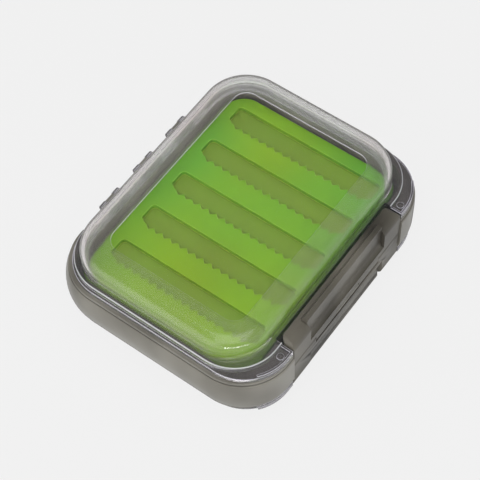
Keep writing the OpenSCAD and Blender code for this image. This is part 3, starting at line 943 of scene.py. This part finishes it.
@dataclass
class DomedLid:
    """Clear lid: flange with two ears, bead, shouldered dome with a sunk window, and six hinge knuckles.

    The window's lip is a row of steps, each how far in and how far down it lies.
    """

    hinges: Hinges
    latches: LatchLine
    flange: Loop = Loop(59.6, -49.5, 47.7, 19.7, 10.4)
    flange_top: float = 12.4
    flange_front_y: float = -46.1
    bead: Loop = Loop(58.9, -44.5, 46.8, 19.0, 15.3)
    bead_bevel: float = 0.7
    dome: Loop = Loop(57.2, -40.9, 45.2, 19.3, 15.3)
    fullness: float = 3.2
    window: Loop = Loop(44.7, -30.5, 32.1, 6.2, 25.0)
    window_lip: tuple[tuple[float, float], ...] = ((0.06, 0.03), (0.1, 0.1), (0.12, 0.4))
    window_boss: float = 0.3
    wall: float = 2.0
    rib_w: float = 1.0
    rib_h: float = 1.6
    rib_edge_r: float = 0.2
    web_y: float = 46.6
    edge_r: float = 0.25
    hook_gap_y: float = -41.8
    ring_x: float = 40.6
    ring_y: float = -46.5
    ring_r: float = 1.5
    ring_wall: float = 0.6
    ring_h: float = 0.6
    ring_edge_r: float = 0.15
    ring_cut: float = 5.0
    edge_slope: tuple[float, float] = (0.3, 0.96)
    edge_over: float = 0.1
    shoulder_steps: int = 22
    corner_steps: int = 22

    def shoulder(self, foot: Loop, head: Loop) -> list[Loop]:
        """Loops of the shoulder, a quarter of a superellipse between its foot and its head."""
        power = 2 / self.fullness
        return [foot.toward(head, 1 - max(c, 0.0) ** power, s ** power) for s, c in quarter(self.shoulder_steps)]

    def outer_loops(self) -> list[Loop]:
        """Loops from the flange's face out, over the bead and the dome, and down the window's step."""
        top, e, head = self.flange_top, self.edge_r, self.window
        made = round_edge(self.flange, e, 2, True, False)[::-1]
        made += round_edge(self.flange.inset(0, top), e, 2, True, True)
        made += [self.bead.inset(0, top), *round_edge(self.bead, self.bead_bevel, 4, True, True)]
        made += self.shoulder(self.dome, head)
        return made + [head.inset(by, head.z - drop) for by, drop in self.window_lip]

    def inner_loops(self) -> list[Loop]:
        """Loops from the middle of the window's underside down to the flange's face."""
        foot = self.dome.inset(self.wall, self.dome.z)
        head = self.window.inset(0, self.window.z - self.window_boss - self.wall)
        made = self.shoulder(foot, head)[::-1]
        return made + round_edge(foot.inset(0, self.flange.z), self.edge_r, 2, False, False)

    def knuckles(self) -> list[Object]:
        """The lid's hinge knuckles with the webs that join them to the flange."""
        hg = self.hinges
        made = []
        for x in hg.stations():
            for side in (-1, 1):
                low, high = sorted((x + side * hg.lid_from, x + side * (hg.lid_from + hg.lid_len)))
                arc = circle_points(hg.axis_y, hg.axis_z, hg.lid_r, 90, -180, 28)
                web = [(y, self.flange.z) for y in (hg.axis_y - hg.lid_r, self.web_y)]
                outline = [(self.web_y, self.flange_top), *arc, *web]
                made.append(prism("lid_knuckle", outline, low, high, Axis.X, self.rib_edge_r))
        return made

    def ears(self, side: int) -> list[Object]:
        """Rib and ring on the ear at one end of the latch.

        Args:
            side: 1 for the +X end and -1 for the other.

        Returns:
            The solids that stand on the flange.
        """
        start, fl, foot_z = self.latches.bay_x / 2, self.flange, self.flange_top - LAP
        outer = [p for p in fl.points(self.corner_steps) if p.y <= self.bead.latch_y and p.x > start]
        outer.sort(key=lambda p: (p.y, -p.x), reverse=True)
        front = [(p.x, p.y) for p in outer] + [(start, fl.latch_y)]
        centre = Vector((fl.half_x - fl.radius, fl.latch_y + fl.radius))
        share = 1 - self.rib_w / fl.radius
        inner = [tuple(centre + (Vector(p) - centre) * share) for p in front[:-1]]
        end_y = self.bead.latch_y + LAP
        back = [(start, end_y), (start + self.rib_w, end_y), (start + self.rib_w, fl.latch_y + self.rib_w)]
        outline = [(side * x, y) for x, y in front + back + inner[::-1]]
        rib = prism("ear_rib", outline, foot_z, self.flange_top + self.rib_h, Axis.Z, self.rib_edge_r)
        circle = self.ring(side, self.ring_r)
        return [rib, prism("ear_ring", circle, foot_z, self.flange_top + self.ring_h, Axis.Z, self.ring_edge_r)]

    def ring(self, side: int, radius: float) -> list[tuple[float, float]]:
        """A circle about the middle of one ear's ring."""
        return [(side * self.ring_x + x, y) for x, y in circle_points(0, self.ring_y, radius)]

    def ring_bores(self) -> list[Object]:
        """Cutters for the hollows of the two rings."""
        radius, low = self.ring_r - self.ring_wall, self.flange_top
        return [prism("ring_bore", self.ring(side, radius), low, low + self.ring_cut, Axis.Z) for side in (-1, 1)]

    def build(self) -> Object:
        """Builds the top lid."""
        body = loft("top_lid_moulding", self.inner_loops() + self.outer_loops(), self.corner_steps)
        combine(body, self.knuckles() + self.ears(1) + self.ears(-1), Join.ADD)
        half = self.latches.bay_x / 2
        hg = self.hinges
        cutters = [
            box_mm("latch_gap", (-half, -FAR, 0), (half, self.flange_front_y, FAR)),
            box_mm("hook_gap", (-half, -FAR, self.flange_top), (half, self.hook_gap_y, FAR)),
            prism("pin_bore", circle_points(hg.axis_y, hg.axis_z, hg.bore_r), -hg.bay_x / 2, hg.bay_x / 2),
        ]
        for x in hg.stations():
            low, high = (x - hg.lid_from, hg.axis_y - hg.lid_r, 0), (x + hg.lid_from, FAR, self.flange_top)
            cutters.append(box_mm("arm_notch", low, high))
        combine(body, cutters + self.ring_bores(), Join.CUT)
        return self.mark_edges(soften(body, 0.0))

    def mark_edges(self, body: Object) -> Object:
        """Marks the window's step and the rounded edges below the dome for the material of painted highlight."""
        add_slots(body, None, None)
        drop = self.window_lip[-1][1]
        for face in body.data.polygons:
            sloped = self.edge_slope[0] < abs(face.normal.z) < self.edge_slope[1]
            low = face.center.z < (self.bead.z + self.edge_over) * MM
            step = abs(face.normal.z) < self.edge_slope[1] and face.center.z > (self.window.z - drop) * MM
            if step or sloped and low and face.center.y < self.bead.hinge_y * MM:
                face.material_index = 1
        return body


@dataclass
class Latch:
    """Smoky latch: plate, hook, thumb lip over a scoop, and a pair of knuckles."""

    line: LatchLine
    face_y: float = -49.55
    back_y: float = -46.6
    hook_end_y: float = -42.8
    hook_z: float = 12.6
    top_z: float = 16.0
    corner_r: float = 3.0
    top_edge_r: float = 4.0
    hook_corner_r: float = 3.5
    thumb_x: float = 50.0
    thumb_top_z: float = 18.5
    thumb_y: float = -47.95
    thumb_t: float = 2.1
    thumb_foot_t: float = 3.3
    scoop_y: float = -47.75
    scoop_foot_z: float = 5.0
    scoop_flare: float = 3.5
    cut_y: float = -60.0
    cut_z: float = 40.0
    thumb_r: float = 0.35
    thumb_h: float = 1.25
    hook_edges_r: tuple[float, float] = (0.2, 0.5)
    web_z: tuple[float, float] = (0.4, 1.2)
    edge_r: float = 0.18

    def plate(self) -> Object:
        """Plate and hook, with their corners rounded as seen from the front and from above."""
        foot_z, half, under = self.line.foot_z, self.line.latch_x / 2, self.hook_edges_r
        section = [
            (self.face_y, foot_z, 0), (self.back_y, foot_z, 0), (self.back_y, self.hook_z, 0),
            (self.hook_end_y, self.hook_z, under[0]), (self.hook_end_y, self.top_z, under[1]),
            (self.face_y, self.top_z, self.top_edge_r),
        ]
        body = prism("latch_plate", filleted(section, 10), -half, half)
        # Each outline keeps what lies inside it, from where it starts to where it ends along its axis.
        keeps = []
        for axis, low, high, radius, start, end in (
            (Axis.Y, -10, self.top_z, self.corner_r, -FAR, -20),
            (Axis.Z, -FAR, self.hook_end_y, self.hook_corner_r, -20, 40),
        ):
            corners = [(-half, low, 0), (half, low, 0), (half, high, radius), (-half, high, radius)]
            keeps.append(prism("seen_outline", filleted(corners, 12), start, end, axis))
        return combine(body, keeps, Join.KEEP)

    def thumb_lip(self) -> Object:
        """The lip that the thumb pulls."""
        foot_y, foot_z = self.thumb_y + self.thumb_foot_t, self.top_z - self.top_edge_r / 2
        section = [
            (self.scoop_y, self.thumb_top_z - self.thumb_h, 0), (self.scoop_y, foot_z, 0), (foot_y, foot_z, 0),
            (foot_y, self.top_z - LAP, 0), (self.thumb_y + self.thumb_t, self.thumb_top_z, self.thumb_r),
            (self.thumb_y, self.thumb_top_z, self.thumb_r),
        ]
        return prism("thumb_lip", filleted(section), -self.thumb_x / 2, self.thumb_x / 2)

    def scoop(self) -> Object:
        """Cutter for the hollow that the fingertip enters."""
        depth, low = self.scoop_y - self.face_y, self.scoop_foot_z
        flare = [(self.face_y + depth * s, low + self.scoop_flare * (1 - c)) for s, c in quarter(12)]
        outline = [(self.cut_y, low), *flare, (self.scoop_y, self.cut_z), (self.cut_y, self.cut_z)]
        return prism("scoop", outline, -self.thumb_x / 2, self.thumb_x / 2)

    def knuckle(self, x0: float, x1: float) -> Object:
        """One knuckle with the web up to the plate."""
        line = self.line
        low, high = self.web_z
        web = [(y, line.foot_z + LAP) for y in (self.face_y, self.back_y)]
        arc = circle_points(line.pin_y, 0, line.knuckle_r, 0, -180, 20)
        outline = [(line.pin_y + line.knuckle_r, low), *arc, *web, (self.back_y, high)]
        return prism("latch_knuckle", outline, x0, x1)

    def build(self, face: Face) -> Object:
        """Builds the latch of one face."""
        body = combine(self.plate(), [self.scoop()], Join.CUT)
        x0, x1 = self.line.span(face)
        adds = [self.thumb_lip(), self.knuckle(x0, x1), self.knuckle(-x1, -x0)]
        combine(body, adds, Join.ADD)
        bore = prism("latch_bore", circle_points(self.line.pin_y, 0, self.line.bore_r), self.cut_y, -self.cut_y)
        combine(body, [bore], Join.CUT)
        made = faced(soften(body, self.edge_r), face)
        if made is not body:
            bpy.data.objects.remove(body)
        made.name = made.data.name = f"{face.word}_latch_moulding"
        return made


@dataclass
class Insert:
    """Silicone pad with a row of pockets, each straight on one side and toothed on the other."""

    slab: Loop = Loop(54.4, -39.25, 42.0, 9.6, 4.0)
    floor_z: float = 1.0
    foot_r: float = 0.1
    edge_r: float = 0.5
    corner_steps: int = 12
    pockets: int = 5
    pocket_pitch: float = 19.6
    pocket_w: float = 10.0
    pocket_l: float = 70.8
    pocket_depth: float = 2.2
    margin: float = 5.9
    teeth: int = 16
    tooth_pitch: float = 4.0
    tooth_h: float = 1.75
    corner_r: float = 2.0
    bevel: float = 2.4
    lip_r: float = 0.11

    def pocket(self) -> Object:
        """Cutter for one pocket, with the middle of its tooth line at X = 0."""
        half, length = self.tooth_h / 2, self.pocket_l / 2
        run = self.teeth * self.tooth_pitch / 2
        r, rim = self.corner_r, []
        for y, first in ((r - length, -90), (length - r, 0)):
            rim += circle_points(self.pocket_w - r, y, r, first, first + 90, 6)
        rim += [(self.bevel, length), (half, length - self.bevel)]
        for i in range(2 * self.teeth + 1):
            rim.append(((1 if i % 2 == 0 else -1) * half, run - i * self.tooth_pitch / 2))
        rim += [(half, -length + self.bevel), (self.bevel, -length)]
        mid_y = (self.slab.latch_y + self.slab.hinge_y) / 2
        rim = [(x, y + mid_y) for x, y in rim]
        return prism("pocket_cutter", rim, self.slab.z - self.pocket_depth, self.slab.z + 1, Axis.Z)

    def pocket_tree(self, material: Material) -> GeometryNodeTree:
        """Geometry nodes that repeat the pocket along the pad and cut it out.

        Args:
            material: Material of the pad.

        Returns:
            The node tree, with its sizes as named inputs.
        """
        tree = bpy.data.node_groups.new("toothed_pockets", "GeometryNodeTree")
        kinds = {"Geometry": "Geometry", "Pocket": "Object", "Pockets": "Int", "First": "Float", "Pitch": "Float"}
        for name, kind in kinds.items():
            tree.interface.new_socket(name, in_out="INPUT", socket_type=f"NodeSocket{kind}")
        tree.interface.new_socket("Geometry", in_out="OUTPUT", socket_type="NodeSocketGeometry")
        given = add_node(tree, "NodeGroupInput").outputs
        start = add_node(tree, "ShaderNodeCombineXYZ", {"X": given["First"]})
        back = add_node(tree, "ShaderNodeMath", {0: given["Pitch"], 1: -1.0}, operation="MULTIPLY")
        step = add_node(tree, "ShaderNodeCombineXYZ", {"X": back})
        line = {"Count": given["Pockets"], "Start Location": start, "Offset": step}
        row = add_node(tree, "GeometryNodeMeshLine", line, mode="OFFSET")
        cutter = add_node(tree, "GeometryNodeObjectInfo", {"Object": given["Pocket"]}).outputs["Geometry"]
        placed = add_node(tree, "GeometryNodeInstanceOnPoints", {"Points": row, "Instance": cutter})
        real = add_node(tree, "GeometryNodeRealizeInstances", {"Geometry": placed})
        meshes = {"Mesh 1": given["Geometry"], "Mesh 2": real}
        cut = add_node(tree, "GeometryNodeMeshBoolean", meshes, operation="DIFFERENCE", solver="EXACT")
        dressed = add_node(tree, "GeometryNodeSetMaterial", {"Material": material, "Geometry": cut})
        add_node(tree, "NodeGroupOutput", {"Geometry": dressed})
        return tree

    def build(self, material: Material) -> Object:
        """Builds the top pad."""
        slab = self.slab
        loops = [slab.inset(self.foot_r, self.floor_z), slab.inset(0, self.floor_z + self.foot_r)]
        loops += round_edge(slab, self.edge_r, 3, True, True)
        body = loft("top_insert_pad", loops, self.corner_steps)
        cutter = self.pocket()
        tree = self.pocket_tree(material)
        repeat = body.modifiers.new("pockets", "NODES")
        repeat.node_group = tree
        first = slab.half_x - self.margin - self.pocket_w
        wanted = {"Pocket": cutter, "Pockets": self.pockets, "First": first * MM, "Pitch": self.pocket_pitch * MM}
        for item in tree.interface.items_tree:
            if item.in_out == "INPUT" and item.name in wanted:
                repeat[item.identifier] = wanted[item.name]
        bake(body)
        bpy.data.objects.remove(cutter)
        return soften(body, self.lip_r, 50.0)


# ----------------------------------------
# Studio


@dataclass(frozen=True)
class Camera:
    """The photograph's viewpoint: place in millimetres, its right and up axes, and focal length in pixels."""

    place: tuple[float, float, float] = (-249.5, -196.0, 535.8)
    right: tuple[float, float, float] = (0.5876, -0.8087, -0.0262)
    up: tuple[float, float, float] = (0.6964, 0.4890, 0.5252)
    focal_px: float = 1516.2
    image_px: float = 480.0
    sensor_mm: float = 36.0

    def build(self) -> Object:
        """Makes the camera and gives it to the scene."""
        data = bpy.data.cameras.new("camera")
        data.sensor_width = self.sensor_mm
        data.lens = self.focal_px * self.sensor_mm / self.image_px
        data.clip_start, data.clip_end = 0.01, 20.0
        made = bpy.data.objects.new("camera", data)
        right, up = Vector(self.right).normalized(), Vector(self.up).normalized()
        back = right.cross(up).normalized()
        up = back.cross(right)
        turn = Matrix((right, up, back)).transposed()
        made.matrix_world = Matrix.Translation(Vector(self.place) * MM) @ turn.to_4x4()
        bpy.context.scene.collection.objects.link(made)
        bpy.context.scene.camera = made
        return made


@dataclass(frozen=True)
class Softbox:
    """A rectangular lamp that looks at the box's middle, in metres, mirrored in gloss or not."""

    name: str
    place: tuple[float, float, float]
    size: tuple[float, float]
    watts: float
    mirrored: bool = True

    def build(self) -> None:
        """Makes the lamp."""
        data = bpy.data.lights.new(self.name, "AREA")
        data.shape = "RECTANGLE"
        data.size, data.size_y = self.size
        data.energy = self.watts
        made = bpy.data.objects.new(self.name, data)
        made.location = self.place
        made.visible_glossy = self.mirrored
        aim = Vector((0, 0, 0.02)) - Vector(self.place)
        made.rotation_euler = aim.to_track_quat("-Z", "Y").to_euler()
        bpy.context.scene.collection.objects.link(made)


@dataclass(frozen=True)
class Studio:
    """Pale floor, even surround and soft lamps, in metres.

    The surround stands for a tent of white cloth: its walls show in gloss up to walls_to, the sine of their height
    as seen from the box, and its top is open. The floor glows by itself in the camera's rays and by a share of that
    in gloss and through clear plastic; the rest of it is plain paper, which keeps the box's shadow.
    """

    backdrop: str = "#F2F2F2"
    surround: str = "#E6E6E6"
    strength: float = 0.26
    walls: float = 0.6
    walls_to: float = 0.66
    walls_fade: float = 0.15
    floor_half: float = 3.0
    glow: float = 0.93
    in_gloss: float = 0.35
    through_clear: float = 0.35
    lamps: tuple[Softbox, ...] = (
        Softbox("overhead", (-0.45, -0.35, 1.3), (1.3, 1.3), 12.5, False),
        Softbox("left", (-1.2, 0.38, 0.53), (1.6, 1.05), 5.0),
        Softbox("behind", (0.84, 0.84, 0.96), (2.4, 0.6), 3.0),
        Softbox("low_front", (-0.85, -0.8, 0.2), (1.0, 0.06), 3.0),
    )

    def build(self) -> None:
        """Makes the world, the floor and the lamps."""
        scene = bpy.context.scene
        scene.view_settings.view_transform = "Standard"
        scene.world = bpy.data.worlds.new("studio")
        tree = cleared_tree(scene.world)
        path = add_node(tree, "ShaderNodeLightPath").outputs
        lit = add_node(tree, "ShaderNodeBackground", {"Color": linear(self.surround), "Strength": self.strength})
        seen = add_node(tree, "ShaderNodeBackground", {"Color": linear(self.backdrop), "Strength": 1.0})
        way = add_node(tree, "ShaderNodeTexCoord").outputs["Generated"]
        rise = add_node(tree, "ShaderNodeSeparateXYZ", {0: way}).outputs["Z"]
        ends = {"From Min": self.walls_to, "From Max": self.walls_to + self.walls_fade, "Value": rise}
        fade = {**ends, "To Min": self.walls, "To Max": 0.0}
        walls = add_node(tree, "ShaderNodeMapRange", fade, interpolation_type="SMOOTHSTEP")
        mirrored = add_node(tree, "ShaderNodeMath", {0: path["Is Glossy Ray"], 1: walls}, operation="MULTIPLY")
        shown = add_node(tree, "ShaderNodeMath", {0: path["Is Camera Ray"], 1: mirrored}, operation="MAXIMUM")
        mixed = add_node(tree, "ShaderNodeMixShader", {0: shown, 1: lit, 2: seen})
        add_node(tree, "ShaderNodeOutputWorld", {"Surface": mixed})
        self.floor()
        for lamp in self.lamps:
            lamp.build()

    def floor(self) -> None:
        """Makes the floor, whose colour seen by the camera is the backdrop's, with a faint shadow."""
        half = self.floor_half
        mesh = bpy.data.meshes.new("floor")
        mesh.from_pydata([(-half, -half, 0), (half, -half, 0), (half, half, 0), (-half, half, 0)], [], [(0, 1, 2, 3)])
        floor = new_piece("floor", mesh)
        material = bpy.data.materials.new("matt_paper")
        tree = cleared_tree(material)
        paper = add_node(tree, "ShaderNodeBsdfDiffuse", {"Color": linear(self.backdrop)})
        lit = add_node(tree, "ShaderNodeEmission", {"Color": linear(self.backdrop), "Strength": 1.0})
        path = add_node(tree, "ShaderNodeLightPath").outputs
        seen = path["Is Camera Ray"]
        for ray, part in (("Is Transmission Ray", self.through_clear), ("Is Glossy Ray", self.in_gloss)):
            some = add_node(tree, "ShaderNodeMath", {0: path[ray], 1: part}, operation="MULTIPLY")
            seen = add_node(tree, "ShaderNodeMath", {0: seen, 1: some}, operation="MAXIMUM")
        share = add_node(tree, "ShaderNodeMath", {0: seen, 1: self.glow}, operation="MULTIPLY")
        mixed = add_node(tree, "ShaderNodeMixShader", {0: share, 1: paper, 2: lit})
        add_node(tree, "ShaderNodeOutputMaterial", {"Surface": mixed})
        mesh.materials.append(material)


# ----------------------------------------


@dataclass
class FlyBox:
    """The whole box: builds each sub-assembly and dresses it."""

    nodes: dict
    hinges: Hinges = field(default_factory=Hinges)
    line: LatchLine = field(default_factory=LatchLine)

    def build(self) -> None:
        """Builds every piece in order."""
        smoky = SmokyPlastic("smoked_abs_moulding", "#6F6B61", 0.38, 1.36, coat=0.1).make()
        # Painted light: the frame's wall is coloured lighter than the latches, for the pale table that its thin wall
        # lets through.
        wall = SmokyPlastic("smoked_abs_wall", "#8E8B82", 0.3, 1.34, dark="#66635B", coat=0.12).make()
        clear = ClearPolycarbonate("clear_polycarbonate", "#FFFFFF", 0.02, 1.5).make()
        # Painted highlight: the lid's marked edges are coloured pale.
        clear_highlight_edge = PolishedEdge("clear_polycarbonate_edges", "#E4E2EC", 0.12).make()
        # Painted highlight: the pad's rounded lips are coloured a brighter green.
        lip = Silicone(
            "green_silicone_lips", "#A6CC3C", 0.45, 1.41, blue_side="#96C84C", thin="#A6CC3C", nook_share=0.0
        ).make()
        # Painted highlight: the smoky pieces' rounded edges are coloured lighter.
        smoky_highlight_edge = SmokyPlastic("smoked_abs_edges", "#9C978C", 0.16, dark="#7C776C").make()
        silicone = Silicone("green_silicone_rubber", "#80AA14", 0.5, 1.41).make()
        steel = TurnedSteel("stainless_pin_stock", "#C4C4C2", 0.28).make()

        frame = CenterFrame(self.hinges, self.line).build()
        dress(frame, wall, smoky_highlight_edge)
        hand_over(frame, "frame", "center_frame")

        lid, pad = DomedLid(self.hinges, self.line).build(), Insert().build(silicone)
        made: list[tuple[Object, str, str, str, tuple[Material, ...]]] = []
        for face in Face:
            word = face.word
            made += [
                (faced(lid, face), f"{word}_lid", f"{word}_lid", "clear_plastic", (clear, clear_highlight_edge)),
                (faced(pad, face), "frame", f"{word}_insert", "green_silicone", (silicone, lip)),
                (Latch(self.line).build(face), f"{word}_latch", f"{word}_latch", "smoky_plastic", (smoky, smoky_highlight_edge)),
            ]
        for piece, body, node, slot, materials in made:
            seat(piece)
            dress(piece, *materials)
            hand_over(piece, body, node)
        for name, node in self.nodes.items():
            if name.endswith("pin") or "_pin_" in name:
                dress(node, steel)
                log.info("%s keeps its CAD mesh", name)


def main() -> None:
    """Builds the box and its studio."""
    logging.basicConfig(level=logging.INFO, format="%(message)s")
    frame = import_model()
    Camera().build()
    Studio().build()
    FlyBox(frame["nodes"]).build()


if __name__ == "__main__":
    main()
